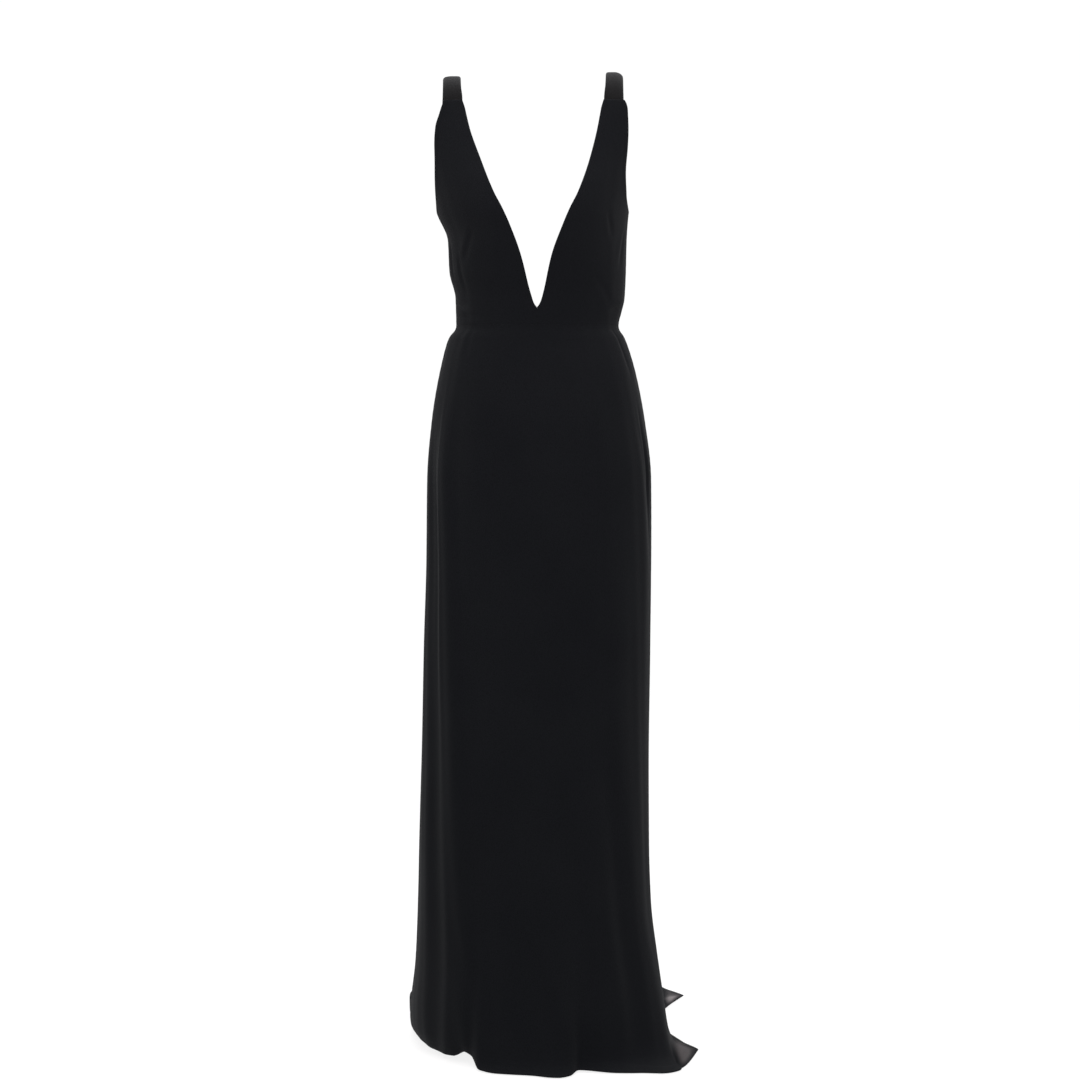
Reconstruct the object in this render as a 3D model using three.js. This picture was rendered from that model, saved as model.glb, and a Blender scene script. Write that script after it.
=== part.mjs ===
// Sleeveless crepe maxi dress as it hangs when worn: plunging V front, narrow shoulder straps,
// fitted waist, column skirt and a short train on the floor.
// Units are millimetres, +Z is up, the front faces -Y and +X is the wearer's left.
// The origin lies between the two shoulder straps, where the wearer holds the dress up.
import * as THREE from 'three';

// Cloth
const WALL = 1.6;
const STRAP_WALL = 2.4;
const SEAM_GAP = 0.3;
const CREPE_BLACK = 0x15181a;
const STRAP_BLACK = 0x222425;

// Main heights
const FLOOR = -1460;
const REST = FLOOR + WALL + 0.2;
const STRAP_END = -41;
const WAIST = -371;
const V_BOTTOM = -347.5;
const BACK_V_BOTTOM = -353.5;
const UNDERARM = -205;

// Horizontal sections of the worn dress, from the strap ends down to the hem.
// left, right: half widths. front, back: depths from the side seams.
// square: swelling between the four sides. spread: share of the way out to the hem line.
const SECTIONS = [
  { at: 'strap ends', z: STRAP_END, left: 180, right: 186, front: 63, back: 74, square: 0, spread: 0 },
  { at: 'shoulder blades', z: -84, left: 164, right: 178, front: 80, back: 86, square: 0, spread: 0 },
  { at: 'chest', z: -130, left: 150, right: 168, front: 97, back: 94, square: 0, spread: 0 },
  { at: 'armpit', z: -168, left: 143, right: 158, front: 109, back: 97, square: 0, spread: 0 },
  { at: 'underarm', z: UNDERARM, left: 136, right: 148, front: 114, back: 96, square: 0, spread: 0 },
  { at: 'under the bust', z: -245, left: 133, right: 132, front: 110, back: 93, square: 0, spread: 0 },
  { at: 'ribs', z: -290, left: 132, right: 130, front: 100, back: 90, square: 0, spread: 0 },
  { at: 'lower ribs', z: -330, left: 130, right: 121, front: 92, back: 88, square: 0, spread: 0 },
  { at: 'waist', z: WAIST, left: 121, right: 120, front: 88, back: 88, square: 0, spread: 0 },
  { at: 'skirt top', z: -392, left: 131, right: 132, front: 95, back: 98, square: 0.01, spread: 0 },
  { at: 'high hip', z: -432, left: 144, right: 143, front: 105, back: 114, square: 0.02, spread: 0 },
  { at: 'hip', z: -512, left: 160, right: 157, front: 114, back: 126, square: 0.03, spread: 0 },
  { at: 'full hip', z: -602, left: 170, right: 164, front: 118, back: 130, square: 0.04, spread: 0 },
  { at: 'thigh', z: -720, left: 171, right: 165, front: 119, back: 131, square: 0.04, spread: 0 },
  { at: 'above the knee', z: -850, left: 169, right: 169, front: 122, back: 135, square: 0.04, spread: 0 },
  { at: 'below the knee', z: -1000, left: 167, right: 172, front: 127, back: 147, square: 0.04, spread: 0 },
  { at: 'calf', z: -1130, left: 168, right: 176, front: 133, back: 164, square: 0.04, spread: 0.01 },
  { at: 'shin', z: -1240, left: 170, right: 178, front: 139, back: 184, square: 0.04, spread: 0.05 },
  { at: 'ankle', z: -1330, left: 178, right: 182, front: 145, back: 204, square: 0.04, spread: 0.12 },
  { at: 'above the hem', z: -1395, left: 186, right: 190.5, front: 149, back: 216, square: 0.03, spread: 0.25 },
  { at: 'break of the train', z: -1432, left: 189, right: 194, front: 152, back: 224, square: 0.02, spread: 0.42 },
  { at: 'start of the train', z: -1449, left: 190, right: 193, front: 153, back: 230, square: 0, spread: 0.62 },
  { at: 'train on the floor', z: REST + 3, left: 191, right: 194, front: 154, back: 234, square: 0, spread: 0.82 },
  { at: 'hem', z: REST, left: 192, right: 194, front: 154, back: 236, square: 0, spread: 1 },
];

// Neck edge of the front: distance of each side from the centre front.
const FRONT_NECK = [
  { z: STRAP_END, left: 98, right: 110 },
  { z: -84, left: 90, right: 100 },
  { z: -132, left: 78, right: 83 },
  { z: -180, left: 61, right: 64 },
  { z: -204, left: 49, right: 51.5 },
  { z: -227, left: 39, right: 41 },
  { z: -272, left: 22.5, right: 24.5 },
  { z: -318, left: 12.5, right: 13 },
  { z: -330, left: 9.5, right: 9.5 },
  { z: -338, left: 7, right: 7 },
  { z: -344, left: 3.8, right: 3.8 },
  { z: V_BOTTOM, left: 0, right: 0 },
];

// Neck edge of the back: the front's, moved out by these amounts, so it never shows inside the front V.
const BACK_NECK_SCALE = 1.04;
const BACK_NECK_EASE = 2;

// Armhole edges: distance from the centre front or centre back.
const FRONT_ARMHOLE = [
  { z: STRAP_END, left: 131.5, right: 137.5 },
  { z: -58, left: 132, right: 143 },
  { z: -80, left: 133, right: 149 },
  { z: -110, left: 132, right: 150.5 },
  { z: -150, left: 129, right: 150 },
  { z: -180, left: 130.5, right: 149.5 },
  { z: -196, left: 134, right: 149 },
  { z: UNDERARM, left: 136, right: 148 },
];
const BACK_ARMHOLE = [
  { z: STRAP_END, left: 135, right: 145 },
  { z: -70, left: 127, right: 141 },
  { z: -110, left: 122, right: 139 },
  { z: -150, left: 121, right: 139 },
  { z: -182, left: 126, right: 142 },
  { z: -197, left: 131.5, right: 146 },
  { z: UNDERARM, left: 136, right: 148 },
];

// Bust: each front swells forward around its own point.
const BUST = { left: 74, right: 78, z: -206, forward: 11, halfWidth: 52, halfHeight: 72 };

// Shoulder straps. inner, outer: edges at the front end. crest: height over the shoulder.
// fall: how far the strap drops with the shoulder's slope, over its outer half.
const STRAPS = [
  { side: 1, inner: 99.8, outer: 127.3, crest: 5.5, fall: 6 },
  { side: -1, inner: 110.8, outer: 139, crest: -0.5, fall: 2.5 },
];
// Places across a strap, as shares of its width, closer together at its soft edges.
const STRAP_SHARES = [0, 0.06, 0.18, 0.4, 0.62, 0.82, 0.94, 1];
const STRAP_EDGE_ROUND = 2.8;
const STRAP_TUCK = 8;
const STRAP_DRIFT = 4;
const CREST_Y = 4;

// Hem line on the floor. turn: degrees round from the centre front. lift: height above the floor.
const HEM = [
  { turn: -180, x: 0, y: 480, lift: 0 },
  { turn: -155, x: -118, y: 466, lift: 0 },
  { turn: -136, x: -197, y: 404, lift: 0 },
  { turn: -125, x: -209, y: 342, lift: 0 },
  { turn: -113, x: -206, y: 272, lift: 0 },
  { turn: -98, x: -196, y: 150, lift: 1 },
  { turn: -88, x: -188.5, y: 95, lift: 3 },
  { turn: -80, x: -181.5, y: 60, lift: 4 },
  { turn: -72, x: -175, y: 26, lift: 5 },
  { turn: -65, x: -167, y: -8, lift: 6 },
  { turn: -58, x: -158, y: -38, lift: 5 },
  { turn: -52, x: -150, y: -60, lift: 5 },
  { turn: -45, x: -140, y: -86, lift: 7 },
  { turn: -40, x: -124, y: -94, lift: 7 },
  { turn: -35, x: -103, y: -105, lift: 18 },
  { turn: -30, x: -93, y: -114, lift: 14 },
  { turn: -25, x: -84, y: -153, lift: 1 },
  { turn: -16, x: -58, y: -171, lift: 0 },
  { turn: 0, x: 0, y: -185, lift: 0 },
  { turn: 5, x: 15, y: -194, lift: 0 },
  { turn: 10, x: 31, y: -196, lift: 0 },
  { turn: 15, x: 47, y: -188, lift: 0 },
  { turn: 20, x: 61, y: -163, lift: 2 },
  { turn: 36, x: 112, y: -168, lift: 0 },
  { turn: 60, x: 179, y: -170, lift: 0 },
  { turn: 75, x: 211, y: -146, lift: 0 },
  { turn: 90, x: 207, y: -31, lift: 0 },
  { turn: 94.5, x: 198, y: 12, lift: 0 },
  { turn: 104, x: 195.5, y: 98, lift: 0 },
  { turn: 118, x: 205, y: 240, lift: 0 },
  { turn: 130, x: 206, y: 332, lift: 0 },
  { turn: 137, x: 197, y: 380, lift: 0 },
  { turn: 144, x: 188, y: 425, lift: 0 },
  { turn: 163, x: 90, y: 472, lift: 0 },
  { turn: 180, x: 0, y: 480, lift: 0 },
];

// Pointed corners of the train that lie out to the wearer's left. A low ridge of height rise runs
// along the front edge of each, and the edge turns down from it to the floor.
const TRAIN_POINTS = [
  { at: 'front point', turn: 90, halfTurn: 14, reach: 36, ridgeTurn: 82, ridgeHalfTurn: 9, rise: 8 },
  { at: 'rear point', turn: 130, halfTurn: 12, reach: 34, ridgeTurn: 123, ridgeHalfTurn: 10, rise: 8 },
];

// Long soft folds. depth: outward if positive. The fold runs from turnTop at top to turnFoot at foot.
const FOLDS = [
  { at: 'right front crease', turnTop: -56, turnFoot: -31, top: -440, foot: REST, depth: 5, halfTurn: 9 },
  { at: 'right side hollow', turnTop: -72, turnFoot: -50, top: -460, foot: REST, depth: -5, halfTurn: 11 },
  { at: 'left hip fold', turnTop: 66, turnFoot: 78, top: -470, foot: -760, depth: -4, halfTurn: 9 },
  { at: 'left front fall', turnTop: 32, turnFoot: 52, top: -900, foot: REST, depth: -6, halfTurn: 10 },
  { at: 'centre front fall', turnTop: -2, turnFoot: 8, top: -980, foot: REST, depth: 5, halfTurn: 13 },
  { at: 'left train fold', turnTop: 112, turnFoot: 104, top: -760, foot: REST, depth: -9, halfTurn: 12 },
  { at: 'left back fold', turnTop: 142, turnFoot: 148, top: -700, foot: REST, depth: 10, halfTurn: 13 },
  { at: 'centre back fold', turnTop: 176, turnFoot: 170, top: -820, foot: REST, depth: -8, halfTurn: 12 },
  { at: 'right back fold', turnTop: -152, turnFoot: -158, top: -640, foot: REST, depth: 9, halfTurn: 13 },
  { at: 'right train fold', turnTop: -118, turnFoot: -108, top: -780, foot: REST, depth: -8, halfTurn: 13 },
];
const FOLD_FADE = 170;

// How finely the panels are divided
const FRONT_SKIRT_COLUMNS = 36;
const BACK_SKIRT_COLUMNS = 19;
const FRONT_BODICE_COLUMNS = 9;
const BACK_BODICE_COLUMNS = 6;
const BODICE_ROWS = 17;
const STRAP_ARC_ROWS = 10;

const radians = THREE.MathUtils.degToRad;
const degrees = THREE.MathUtils.radToDeg;
const mix = THREE.MathUtils.lerp;

/** Smooth curve through the rows of a table, with no swing past its values. Rows are spaced by key. */
function follow(rows, key, value, column) {
  const rising = rows[rows.length - 1][key] > rows[0][key];
  let i = 0;
  while (i < rows.length - 2 && (rising ? value > rows[i + 1][key] : value < rows[i + 1][key])) {
    i += 1;
  }
  const span = (n) => rows[n + 1][key] - rows[n][key];
  const slope = (n) => (rows[n + 1][column] - rows[n][column]) / span(n);
  const tangent = (n) => {
    if (n === 0) return slope(0);
    if (n === rows.length - 1) return slope(n - 1);
    const before = slope(n - 1);
    const after = slope(n);
    return before * after <= 0 ? 0 : (2 * before * after) / (before + after);
  };
  const step = span(i);
  const t = THREE.MathUtils.clamp((value - rows[i][key]) / step, 0, 1);
  const start = rows[i][column];
  const end = rows[i + 1][column];
  const rise = end - start;
  const a = step * tangent(i) - rise;
  const b = rise - step * tangent(i + 1);
  return mix(start, end, t) + t * (1 - t) * (a * (1 - t) + b * t);
}

const NUMBERED_SECTIONS = SECTIONS.map((section, row) => ({ ...section, row }));
const sectionValue = (row, column) => follow(NUMBERED_SECTIONS, 'row', row, column);

/** Row number, with its fraction, of the section at a height between the strap ends and the hip. */
function rowAtHeight(z) {
  let low = 0;
  let high = SECTIONS.length - 1;
  while (high - low > 1e-7) {
    const middle = (low + high) / 2;
    if (sectionValue(middle, 'z') > z) low = middle;
    else high = middle;
  }
  return (low + high) / 2;
}

/** Angle between two turns, from -180 to 180 degrees. */
const turnBetween = (a, b) => ((((a - b) % 360) + 540) % 360) - 180;

/** Round hump: 1 in the middle, 0 from halfWidth away. */
function hump(distance, halfWidth) {
  const share = Math.min(Math.abs(distance) / halfWidth, 1);
  return 0.5 + 0.5 * Math.cos(Math.PI * share);
}

/** How far the long folds move the cloth outwards. */
function foldDepth(turn, z) {
  let depth = 0;
  for (const fold of FOLDS) {
    const fallen = THREE.MathUtils.clamp((fold.top - z) / (fold.top - fold.foot), 0, 1);
    const fadeIn = THREE.MathUtils.smoothstep(fold.top - z, 0, FOLD_FADE);
    const fadeOut = fold.foot > REST ? THREE.MathUtils.smoothstep(z - fold.foot, 0, FOLD_FADE) : 1;
    const middle = mix(fold.turnTop, fold.turnFoot, fallen);
    depth += fold.depth * fadeIn * fadeOut * hump(turnBetween(turn, middle), fold.halfTurn);
  }
  return depth;
}

/** Forward swell of the cloth over the bust. */
function bustSwell(x, z) {
  const apex = x > 0 ? BUST.left : -BUST.right;
  const across = (x - apex) / BUST.halfWidth;
  const down = (z - BUST.z) / BUST.halfHeight;
  return BUST.forward * Math.exp(-across * across - down * down);
}

/** Place on the outside of the dress: turn in degrees from the centre front, row in the sections. */
function clothPoint(turn, row) {
  const angle = radians(turn);
  const across = Math.sin(angle);
  const along = -Math.cos(angle);
  const z = sectionValue(row, 'z');
  const spread = sectionValue(row, 'spread');
  const swell = 1 + sectionValue(row, 'square') * Math.sin(2 * angle) ** 2;
  const width = sectionValue(row, across > 0 ? 'left' : 'right');
  const depth = sectionValue(row, along < 0 ? 'front' : 'back');
  const point = new THREE.Vector3(width * across * swell, depth * along * swell, z);
  if (along < 0 && z > 2 * UNDERARM) {
    point.y -= bustSwell(point.x, z) * along * along;
  }
  if (z > WAIST) return point;

  const hemTurn = turnBetween(turn, 0);
  let reach = 0;
  let rise = 0;
  for (const corner of TRAIN_POINTS) {
    const share = Math.max(0, 1 - Math.abs(turnBetween(turn, corner.turn)) / corner.halfTurn);
    reach += corner.reach * share * spread ** 3;
    const lifted = THREE.MathUtils.smoothstep(spread, 0.35, 0.8) - THREE.MathUtils.smoothstep(spread, 0.87, 1);
    rise += corner.rise * lifted * hump(turnBetween(turn, corner.ridgeTurn), corner.ridgeHalfTurn);
  }
  const hemX = follow(HEM, 'turn', hemTurn, 'x');
  const hemY = follow(HEM, 'turn', hemTurn, 'y');
  const hemLift = follow(HEM, 'turn', hemTurn, 'lift');
  point.x = mix(point.x, hemX, spread) + reach;
  point.y = mix(point.y, hemY, spread);
  const fold = foldDepth(turn, z);
  const lying = THREE.MathUtils.smoothstep(spread, 0.3, 0.8) * THREE.MathUtils.smoothstep(-along, -0.2, 0.4);
  const standing = 1 - THREE.MathUtils.smoothstep(spread, 0.3, 0.8) * THREE.MathUtils.smoothstep(along, -0.4, 0.2);
  point.x += fold * across * standing;
  point.y += fold * along * standing;
  point.z += hemLift * spread + rise + Math.max(0, fold) * (1 - standing) * (1 - lying);
  return point;
}

/** Outward direction of a surface given by two numbers. */
function outward(surface, turn, row, turnStep, rowStep) {
  const alongRing = surface(turn + turnStep, row).sub(surface(turn - turnStep, row));
  const down = surface(turn, row + rowStep).sub(surface(turn, row - rowStep));
  return down.cross(alongRing).normalize();
}

/** Closed wall through a grid of places on a surface, from inset to inset + thickness below it. */
function wallGeometry(grid, surface, inset, thickness, turnStep, rowStep) {
  const rows = grid.length;
  const columns = grid[0].length;
  const positions = [];
  for (const depth of [inset, inset + thickness]) {
    for (const line of grid) {
      for (const place of line) {
        const point = surface(place.turn, place.row);
        const normal = outward(surface, place.turn, place.row, turnStep, rowStep);
        point.addScaledVector(normal, -depth);
        positions.push(point.x, point.y, point.z);
      }
    }
  }
  const outer = (i, j) => i * columns + j;
  const inner = (i, j) => rows * columns + outer(i, j);
  const triangles = [];
  const quad = (a, b, c, d) => triangles.push(a, b, c, a, c, d);
  for (let i = 0; i < rows - 1; i += 1) {
    for (let j = 0; j < columns - 1; j += 1) {
      quad(outer(i, j), outer(i + 1, j), outer(i + 1, j + 1), outer(i, j + 1));
      quad(inner(i, j), inner(i, j + 1), inner(i + 1, j + 1), inner(i + 1, j));
    }
    quad(outer(i, 0), inner(i, 0), inner(i + 1, 0), outer(i + 1, 0));
    quad(outer(i, columns - 1), outer(i + 1, columns - 1), inner(i + 1, columns - 1), inner(i, columns - 1));
  }
  for (let j = 0; j < columns - 1; j += 1) {
    quad(outer(0, j), outer(0, j + 1), inner(0, j + 1), inner(0, j));
    quad(outer(rows - 1, j), inner(rows - 1, j), inner(rows - 1, j + 1), outer(rows - 1, j + 1));
  }
  const geometry = new THREE.BufferGeometry();
  geometry.setAttribute('position', new THREE.Float32BufferAttribute(positions, 3));
  geometry.setIndex(triangles);
  geometry.computeVertexNormals();
  return geometry;
}

/** Turn that lies half a seam gap to one side of a seam. */
function beside(turn, row, direction) {
  const step = 0.05;
  const run = clothPoint(turn + step, row).distanceTo(clothPoint(turn - step, row)) / (2 * step);
  return turn + (direction * SEAM_GAP) / 2 / run;
}

/** Turn at which the section reaches a distance from the centre, on the front or on the back. */
function turnAtDistance(distance, row, side, isBack) {
  const width = sectionValue(row, side > 0 ? 'left' : 'right');
  const turn = degrees(Math.asin(Math.min(distance / width, 1)));
  return side * (isBack ? 180 - turn : turn);
}

/** Turns of the neck edge and of the armhole or side edge of a bodice piece. */
function bodiceEdges(row, side, isBack) {
  const column = side > 0 ? 'left' : 'right';
  const z = sectionValue(row, 'z');
  const centre = isBack ? 180 * side : 0;
  const centreDirection = isBack ? -side : side;
  const neckBottom = isBack ? BACK_V_BOTTOM : V_BOTTOM;
  let inner = beside(centre, row, centreDirection);
  if (z > neckBottom) {
    const front = follow(FRONT_NECK, 'z', z + (V_BOTTOM - neckBottom), column);
    const distance = isBack ? front * BACK_NECK_SCALE + Math.min(BACK_NECK_EASE, front) : front;
    inner = turnAtDistance(Math.max(distance, SEAM_GAP / 2), row, side, isBack);
  }
  let outer = beside(90 * side, row, isBack ? side : -side);
  if (z > UNDERARM) {
    const armhole = follow(isBack ? BACK_ARMHOLE : FRONT_ARMHOLE, 'z', z, column);
    const edge = turnAtDistance(armhole, row, side, isBack);
    const nearerCentre = isBack ? Math.max(Math.abs(edge), Math.abs(outer)) : Math.min(Math.abs(edge), Math.abs(outer));
    outer = side * nearerCentre;
  }
  return { inner, outer };
}

/** Grid of places, evenly spaced between two edges on each row, turning from -X to +X round the front. */
function gridBetween(rowNumbers, columns, edgesAt) {
  return rowNumbers.map((row) => {
    const { start, end } = edgesAt(row);
    return Array.from({ length: columns + 1 }, (_, j) => ({ turn: mix(start, end, j / columns), row }));
  });
}

/** Row numbers of a bodice piece from the waist seam up, with more of them round the V. */
function bodiceRowNumbers(neckBottom) {
  const waistRow = SECTIONS.findIndex((section) => section.at === 'waist');
  const heights = [WAIST + SEAM_GAP / 2, neckBottom, neckBottom + 3.5, neckBottom + 9.5];
  heights.push(UNDERARM, UNDERARM + 3, UNDERARM + 8);
  for (let i = 0; i < BODICE_ROWS; i += 1) {
    const z = mix(STRAP_END, WAIST, i / BODICE_ROWS);
    if (heights.every((other) => Math.abs(other - z) > 6)) heights.push(z);
  }
  heights.sort((a, b) => b - a);
  return heights.map((z) => (z < WAIST + 1 ? waistRow - SEAM_GAP / 2 / (SECTIONS[waistRow - 1].z - WAIST) : rowAtHeight(z)));
}

/** One of the four bodice pieces. */
function bodicePiece(side, isBack) {
  const columns = isBack ? BACK_BODICE_COLUMNS : FRONT_BODICE_COLUMNS;
  const rowNumbers = bodiceRowNumbers(isBack ? BACK_V_BOTTOM : V_BOTTOM);
  const grid = gridBetween(rowNumbers, columns, (row) => {
    const { inner, outer } = bodiceEdges(row, side, isBack);
    return { start: Math.min(inner, outer), end: Math.max(inner, outer) };
  });
  return wallGeometry(grid, clothPoint, 0, WALL, 0.2, 0.01);
}

/** Row numbers of the skirt: each section, with one more between two sections where the cloth curves. */
function skirtRowNumbers() {
  const rowNamed = (name) => SECTIONS.findIndex((section) => section.at === name);
  const waistRow = rowNamed('waist');
  const isCurved = (row) => row < rowNamed('hip') || (row >= rowNamed('shin') && row < rowNamed('hem'));
  const numbers = [waistRow + SEAM_GAP / 2 / (WAIST - SECTIONS[waistRow + 1].z)];
  for (let row = waistRow; row < SECTIONS.length; row += 1) {
    if (row > waistRow) numbers.push(row);
    if (isCurved(row)) numbers.push(row + 0.5);
  }
  return numbers;
}

/** Skirt piece between two seams. Places near the points of the train are moved onto their tips. */
function skirtPiece(startTurn, endTurn, columns) {
  const tips = TRAIN_POINTS.map((corner) => corner.turn);
  const grid = gridBetween(skirtRowNumbers(), columns, (row) => ({
    start: beside(startTurn, row, 1),
    end: beside(endTurn, row, -1),
  }));
  const spacing = (endTurn - startTurn) / columns;
  for (const line of grid) {
    for (const place of line.slice(1, -1)) {
      const tip = tips.find((turn) => Math.abs(place.turn - turn) < spacing / 2);
      if (tip !== undefined) place.turn = tip;
    }
  }
  return wallGeometry(grid, clothPoint, 0, WALL, 0.2, 0.01);
}

/** Height of the strap where it crosses the shoulder, rounded down at both edges. */
function crestHeight(strap, across) {
  const share = (across - strap.inner) / (strap.outer - strap.inner);
  const sloped = strap.fall * Math.max(0, 2 * share - 1) ** 2;
  const rounded = STRAP_EDGE_ROUND * Math.abs(2 * share - 1) ** 10;
  return strap.crest - sloped - rounded;
}

/** Place on the strap's run over the shoulder. across: distance from centre. reach: -2 to 2, front to back. */
function strapPoint(strap, across, reach) {
  const isBack = reach > 0;
  const distance = across + STRAP_DRIFT * THREE.MathUtils.smoothstep(reach, -1, 1);
  const tuckedRow = rowAtHeight(STRAP_END - STRAP_TUCK);
  const row = Math.max(0, Math.abs(reach) - 1) * tuckedRow;
  const base = clothPoint(turnAtDistance(distance, row, strap.side, isBack), row);
  if (Math.abs(reach) >= 1) return base;
  const angle = (Math.abs(reach) * Math.PI) / 2;
  const y = mix(CREST_Y, base.y, Math.sin(angle));
  const z = mix(STRAP_END, crestHeight(strap, across), Math.cos(angle));
  return new THREE.Vector3(base.x, y, z);
}

/** Shoulder strap, its two ends tucked inside the bodice. */
function strapPiece(strap) {
  const reaches = [-2];
  for (let i = 0; i <= STRAP_ARC_ROWS; i += 1) reaches.push(mix(-1, 1, i / STRAP_ARC_ROWS));
  reaches.push(2);
  const surface = (across, reach) => strapPoint(strap, across, reach);
  const shares = strap.side > 0 ? STRAP_SHARES.toReversed() : STRAP_SHARES;
  const grid = reaches.map((reach) => {
    return shares.map((share) => ({ turn: mix(strap.inner, strap.outer, share), row: reach }));
  });
  const flip = strap.side > 0 ? 1 : -1;
  return wallGeometry(grid, surface, WALL + SEAM_GAP, STRAP_WALL, -0.5 * flip, 0.02);
}

const crepe = { color: CREPE_BLACK, roughness: 0.92, metalness: 0, side: THREE.FrontSide };
const strapCrepe = { color: STRAP_BLACK, roughness: 0.88, metalness: 0, side: THREE.FrontSide };

const group = new THREE.Group();

/** Adds a named piece with its own material. */
function addPiece(name, geometry, cloth) {
  const mesh = new THREE.Mesh(geometry, new THREE.MeshStandardMaterial(cloth));
  mesh.name = name;
  group.add(mesh);
}

addPiece('front_bodice_left', bodicePiece(1, false), crepe);
addPiece('front_bodice_right', bodicePiece(-1, false), crepe);
addPiece('back_bodice_left', bodicePiece(1, true), crepe);
addPiece('back_bodice_right', bodicePiece(-1, true), crepe);
addPiece('skirt_front', skirtPiece(-90, 90, FRONT_SKIRT_COLUMNS), crepe);
addPiece('skirt_back_left', skirtPiece(90, 180, BACK_SKIRT_COLUMNS), crepe);
addPiece('skirt_back_right', skirtPiece(-180, -90, BACK_SKIRT_COLUMNS), crepe);
addPiece('strap_left', strapPiece(STRAPS[0]), strapCrepe);
addPiece('strap_right', strapPiece(STRAPS[1]), strapCrepe);

export default group;
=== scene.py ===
"""Black crepe maxi dress as it hangs when worn, on a plain pale floor.

Every cloth panel is a thin shell on the form of its solid, with its seams, turned edges,
creases and crepe grain added. Tables are in millimetres, as in the part's source, and the
meshes are made in metres in the same frame.
"""

import math

import bpy
import numpy as np
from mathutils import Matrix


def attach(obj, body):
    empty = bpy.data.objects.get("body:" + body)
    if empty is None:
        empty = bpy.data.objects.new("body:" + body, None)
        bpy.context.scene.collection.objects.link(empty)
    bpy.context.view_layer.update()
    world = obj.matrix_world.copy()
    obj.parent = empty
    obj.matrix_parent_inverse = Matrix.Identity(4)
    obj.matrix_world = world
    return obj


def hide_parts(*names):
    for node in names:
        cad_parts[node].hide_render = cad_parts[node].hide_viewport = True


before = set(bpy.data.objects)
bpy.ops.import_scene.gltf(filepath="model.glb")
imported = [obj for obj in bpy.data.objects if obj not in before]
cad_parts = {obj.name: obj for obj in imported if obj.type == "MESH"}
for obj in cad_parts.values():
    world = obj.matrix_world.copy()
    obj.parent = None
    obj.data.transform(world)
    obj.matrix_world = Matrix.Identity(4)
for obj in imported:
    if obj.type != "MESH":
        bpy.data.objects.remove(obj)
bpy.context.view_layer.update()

MM = 0.001

# Cloth thickness as seen, and how far its outer face stands off the solids
CREPE = 1.0
STRAP_CLOTH = 2.2
LOFT = 1.0
STRAP_INSET = 1.1

# Rims: room left up to a seam's line and how far a rim runs past it, reach of a free rim as a share
# of the thickness, and how deep between the two faces the rim of an edge and of a flush seam lies
SEAM_EASE = 0.5
SEAM_OVERRUN = 0.02
RIM_SHARE = 0.35
RIM_DROP = 0.5
FLAT_DROP = 0.04

# Least height above the floor of a panel's inner face and of its rim
INNER_CLEARANCE = 0.1
RIM_CLEARANCE = 0.2

# Main heights
FLOOR = -1460.0
REST = FLOOR + 1.8
STRAP_END = -41.0
WAIST = -371.0
V_BOTTOM = -347.5
BACK_V_BOTTOM = -353.5
UNDERARM = -205.0
ZIP_BOTTOM = -590.0
TURNED_HEM = 22.0
TURNED_EDGE = 7.0

# How far the folded cloth reaches past the cut line of the neck and of each armhole. It is full at
# FOLD_FULL below the origin, and it grows over FOLD_RUN above the underarm.
NECK_FOLD = 1.3
ARMHOLE_FOLD = {"left": 1.6, "right": 0.3}
FOLD_FULL = 54.0
FOLD_RUN = 35.0


def table(columns, rows):
    """Named columns of numbers from short rows."""
    names = columns.split()
    return {name: np.array([row[i] for row in rows], float) for i, name in enumerate(names)}


# Horizontal sections of the worn dress from the strap ends to the hem: half widths, depths,
# swelling between the four sides, and share of the way out to the hem line.
SECTIONS = table("z left right front back square spread", [
    (STRAP_END, 180, 186, 63, 74, 0, 0),
    (-84, 164, 178, 80, 86, 0, 0),
    (-130, 150, 168, 97, 94, 0, 0),
    (-168, 143, 158, 109, 97, 0, 0),
    (UNDERARM, 136, 148, 114, 96, 0, 0),
    (-245, 133, 132, 110, 93, 0, 0),
    (-290, 132, 130, 100, 90, 0, 0),
    (-330, 130, 121, 92, 88, 0, 0),
    (WAIST, 121, 120, 90, 88, 0, 0),
    (-392, 131, 132, 93.5, 98, 0.01, 0),
    (-432, 144, 143, 103.5, 114, 0.02, 0),
    (-512, 160, 157, 114, 126, 0.03, 0),
    (-602, 170, 164, 118, 130, 0.04, 0),
    (-720, 171, 165, 119, 131, 0.04, 0),
    (-850, 169, 169, 122, 135, 0.04, 0),
    (-1000, 167, 172, 127, 147, 0.04, 0),
    (-1130, 168, 176, 133, 164, 0.04, 0.01),
    (-1240, 170, 178, 139, 184, 0.04, 0.05),
    (-1330, 180, 182, 145, 204, 0.04, 0.12),
    (-1395, 187, 190.5, 149, 216, 0.03, 0.25),
    (-1432, 189, 194, 152, 224, 0.02, 0.42),
    (-1449, 190, 193, 153, 230, 0, 0.62),
    (REST + 3, 191, 194, 154, 234, 0, 0.82),
    (REST, 192, 194, 154, 236, 0, 1),
])
SECTION_ROWS = np.arange(len(SECTIONS["z"]), dtype=float)
WAIST_ROW = float(np.argmin(abs(SECTIONS["z"] - WAIST)))
HIP_ROW = WAIST_ROW + 3
SHIN_ROW = WAIST_ROW + 9
HEM_ROW = SECTION_ROWS[-1]

# Neck edge of the front: distance of each side from the centre front
FRONT_NECK = table("z left right", [
    (STRAP_END, 98, 110),
    (-84, 90, 100),
    (-132, 78, 83),
    (-180, 61, 64),
    (-204, 49, 51.5),
    (-227, 39, 41),
    (-272, 22.5, 24.5),
    (-318, 12.5, 13),
    (-330, 9.5, 9.5),
    (-338, 7, 7),
    (-344, 3.8, 3.8),
    (V_BOTTOM, 0, 0),
])
BACK_NECK_SCALE = 1.04
BACK_NECK_EASE = 2.0

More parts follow.
